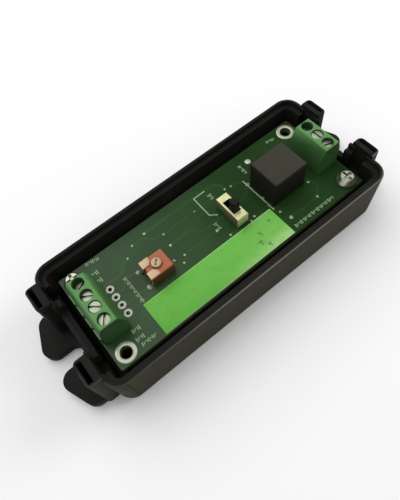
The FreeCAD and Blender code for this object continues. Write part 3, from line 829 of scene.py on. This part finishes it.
class BALUN_OT_patch(bpy.types.Operator):
    """Finish the bare patch along the board's edge and add its small dark marks"""
    bl_idname = "balun.patch"
    bl_label = "Bare patch"

    # Rows of dark ticks: middle, length and height in millimetres, and turn in degrees
    marks = ((11.6, -7.0, 1.0, 0.8, -90), (7.6, -8.4, 1.5, 1.0, -90), (6.1, -10.4, 1.5, 1.0, -90),
             (7.5, -12.1, 1.5, 1.0, -90))
    ink_height = 0.02 * MM

    def execute(self, context):
        dressed("board_patch", lime_film(), edge=0.03 * MM)
        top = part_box("board_patch")[1].z
        bm = bmesh.new()
        for row in self.marks:
            add_ticks(bm, row, top, settings("board").print_width, self.ink_height)
        close_up(bm)
        new_piece("patch_marks", bm, patch_ink(), "unit")
        return {"FINISHED"}


class BALUN_OT_plating(bpy.types.Operator):
    """Finish the tinned rings and the pins"""
    bl_idname = "balun.plating"
    bl_label = "Tinned rings"

    # Width of a corner hole as a share of its ring's
    hole_share = 0.6

    def execute(self, context):
        dressed("header_plating", tinned("header_tin", shade(settings("board").tin, 0.72)), crease=25)
        self.add_fixing_rings()
        for node in ("transformer_pins", "switch_pins"):
            paint(node, tinned())
        return {"FINISHED"}

    def add_fixing_rings(self):
        """Round rings on both faces of the board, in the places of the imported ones."""
        node = "fixing_hole_plating"
        low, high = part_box(node)
        board_low, board_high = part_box("circuit_board")
        screw_low, screw_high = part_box("board_screw_far")
        copper = high.z - board_high.z
        ring = high.x - (screw_low.x + screw_high.x) / 2
        hole = ring * self.hole_share
        steps = settings("parts").steps
        profile = [(hole, 0), (hole + copper, copper * 0.9), (ring * 0.8, copper),
                   (ring - copper, copper * 0.8), (ring, 0)]
        bm = bmesh.new()
        for x in (low.x + ring, high.x - ring):
            for y in (low.y + ring, high.y - ring):
                turned(bm, profile, (x, y, board_high.z), steps)
                turned(bm, [(r, -h) for r, h in profile], (x, y, board_low.z), steps)
        close_up(bm)
        piece = new_piece("fixing_rings", bm, tinned(), body_of_node(node), 60)
        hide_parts(node)


class BALUN_OT_board_screws(bpy.types.Operator):
    """Finish the two board screws"""
    bl_idname = "balun.board_screws"
    bl_label = "Board screws"

    def execute(self, context):
        material = bright_plating()
        for node in nodes_starting("board_screw"):
            dressed(node, material, edge=0.06 * MM, crease=40, sharp=30, whole=False)
        return {"FINISHED"}


class BALUN_OT_terminals(bpy.types.Operator):
    """Finish the terminal mouldings, clamps and screws"""
    bl_idname = "balun.terminals"
    bl_label = "Terminals"

    def execute(self, context):
        user = settings("terminals")
        green = moulded_green()
        steel = plated_steel()
        brass = plated_brass()
        for node in nodes_starting("terminal_housing"):
            dressed(node, green, edge=user.edge)
        for node in nodes_starting("terminal_screw"):
            dressed(node, steel, edge=user.edge / 2, crease=40)
        for node in nodes_starting("pressure_leaf"):
            paint(node, steel)
        for node in nodes_starting("clamp_frame"):
            paint(node, brass)
        return {"FINISHED"}


class BALUN_OT_transformer(bpy.types.Operator):
    """Finish the moulded transformer"""
    bl_idname = "balun.transformer"
    bl_label = "Transformer"

    def execute(self, context):
        dressed("transformer_body", matte_block(), edge=0.12 * MM, sharp=30)
        return {"FINISHED"}


class BALUN_OT_switch(bpy.types.Operator):
    """Finish the slide switch"""
    bl_idname = "balun.switch"
    bl_label = "Slide switch"

    def execute(self, context):
        black = black_moulding()
        dressed("switch_shell", pressed_metal(), edge=0.06 * MM, sharp=30)
        dressed("switch_base", black, edge=0.05 * MM)
        dressed("switch_lever", black, edge=0.08 * MM, sharp=30)
        return {"FINISHED"}


class BALUN_OT_trimmer(bpy.types.Operator):
    """Finish the trimmer, its rotor and contacts"""
    bl_idname = "balun.trimmer"
    bl_label = "Trimmer"

    def execute(self, context):
        user = settings("parts")
        dressed("trimmer_base", salmon_moulding(), edge=0.06 * MM, sharp=30)
        dressed("trimmer_rotor", gilt("gilt_rotor", user.rotor), edge=0.06 * MM, crease=40)
        contact = gilt("gilt_contact", user.contact)
        for node in nodes_starting("trimmer_contact"):
            dressed(node, contact, edge=0.07 * MM)
        return {"FINISHED"}


class BALUN_OT_stage(bpy.types.Operator):
    """Set the floor, the lamps and the camera"""
    bl_idname = "balun.stage"
    bl_label = "Stage"

    # Soft square lamps: the setting that holds the power, and the place and size in metres
    lamps = (("key", (-0.082, 0.307, 0.509), 0.7), ("side", (0.50, -0.09, 0.32), 0.3),
             ("fill", (-0.40, -0.30, 0.30), 0.4))

    def execute(self, context):
        user = settings("stage")
        self.add_floor(user)
        self.add_world(user)
        for name, place, size in self.lamps:
            self.add_lamp(name + "_lamp", place, size, getattr(user, name))
        self.add_camera(user)
        context.scene.view_settings.view_transform = "Standard"
        return {"FINISHED"}

    def add_floor(self, user):
        """A wide pale floor that takes the object's shadow and fades to white far off."""
        bm = bmesh.new()
        bmesh.ops.create_grid(bm, x_segments=1, y_segments=1, size=FLOOR_REACH)
        mesh = bpy.data.meshes.new("floor")
        bm.to_mesh(mesh)
        bm.free()
        finish = Finish("pale_floor", roughness=0.9, specular=0.2)
        finish.set(Base_Color=finish.mix(finish.noise(0.25, 2.0), *shades(user.floor, 0.985, 1.0)))
        x, y = finish.axes()[:2]
        finish.fade_out(((x * x + y * y) ** 0.5).spread(FADE_START, FADE_END))
        mesh.materials.append(finish.material)
        floor = bpy.data.objects.new("floor", mesh)
        bpy.context.scene.collection.objects.link(floor)

    def add_world(self, user):
        """An even white surround, weaker as a light than it looks or is mirrored."""
        world = bpy.data.worlds.new("studio")
        bpy.context.scene.world = world
        world.use_nodes = True
        tree = world.node_tree
        background = tree.nodes["Background"]
        background.inputs["Color"].default_value = (1.0, 1.0, 1.0, 1.0)
        rays = tree.nodes.new("ShaderNodeLightPath")
        seen = rays.outputs[SEEN_RAYS[0]]
        for kind in SEEN_RAYS[1:]:
            either = tree.nodes.new("ShaderNodeMath")
            tree.links.new(seen, either.inputs[0])
            tree.links.new(rays.outputs[kind], either.inputs[1])
            seen = either.outputs[0]
        strength = tree.nodes.new("ShaderNodeMix")
        strength.inputs["A"].default_value = user.surround
        strength.inputs["B"].default_value = 1.0
        tree.links.new(seen, strength.inputs["Factor"])
        tree.links.new(strength.outputs["Result"], background.inputs["Strength"])

    def add_lamp(self, name, place, size, power):
        """A square soft lamp aimed at the object."""
        data = bpy.data.lights.new(name, "AREA")
        data.shape = "SQUARE"
        data.size = size
        data.energy = power
        lamp = bpy.data.objects.new(name, data)
        bpy.context.scene.collection.objects.link(lamp)
        lamp.location = place
        lamp.rotation_euler = (-Vector(place)).to_track_quat("-Z", "Y").to_euler()

    def add_camera(self, user):
        """The photograph's camera, brought nearer by a longer lens."""
        data = bpy.data.cameras.new("photo_camera")
        data.sensor_width = SENSOR
        data.lens = user.photo_focal * user.zoom / FRAME_PIXELS * SENSOR
        data.clip_start = CLIP_START
        data.clip_end = CLIP_END
        camera = bpy.data.objects.new("photo_camera", data)
        bpy.context.scene.collection.objects.link(camera)
        camera.location = user.camera_place
        sight = Vector(user.camera_aim) - Vector(user.camera_place)
        turn = sight.to_track_quat("-Z", "Y").to_matrix() @ Matrix.Rotation(user.roll, 3, "Z")
        camera.rotation_euler = turn.to_euler()
        bpy.context.scene.camera = camera


class BALUN_PT_panel(bpy.types.Panel):
    """Lists the settings and the steps"""
    bl_idname = "BALUN_PT_panel"
    bl_label = "Balun"
    bl_space_type = "VIEW_3D"
    bl_region_type = "UI"
    bl_category = "Balun"

    def draw(self, context):
        for group, kind in SETTINGS.items():
            box = self.layout.box()
            box.label(text=group.capitalize())
            for name in kind.__annotations__:
                box.prop(settings(group), name)
        for step in STEPS:
            self.layout.operator(step.bl_idname)


STEPS = (BALUN_OT_stage, BALUN_OT_case, BALUN_OT_board, BALUN_OT_patch, BALUN_OT_plating,
         BALUN_OT_board_screws, BALUN_OT_terminals, BALUN_OT_transformer, BALUN_OT_switch, BALUN_OT_trimmer)
CLASSES = (*SETTINGS.values(), *STEPS, BALUN_PT_panel)


def register():
    """Makes the settings, the steps and the panel known."""
    for item in CLASSES:
        bpy.utils.register_class(item)
    for group, kind in SETTINGS.items():
        setattr(bpy.types.Scene, "balun_" + group, PointerProperty(type=kind))


def unregister():
    """Takes them away again."""
    for group in SETTINGS:
        delattr(bpy.types.Scene, "balun_" + group)
    for item in reversed(CLASSES):
        bpy.utils.unregister_class(item)


def main():
    """Runs every step in order."""
    register()
    for step in STEPS:
        group, name = step.bl_idname.split(".")
        getattr(getattr(bpy.ops, group), name)()


if __name__ == "__main__":
    main()
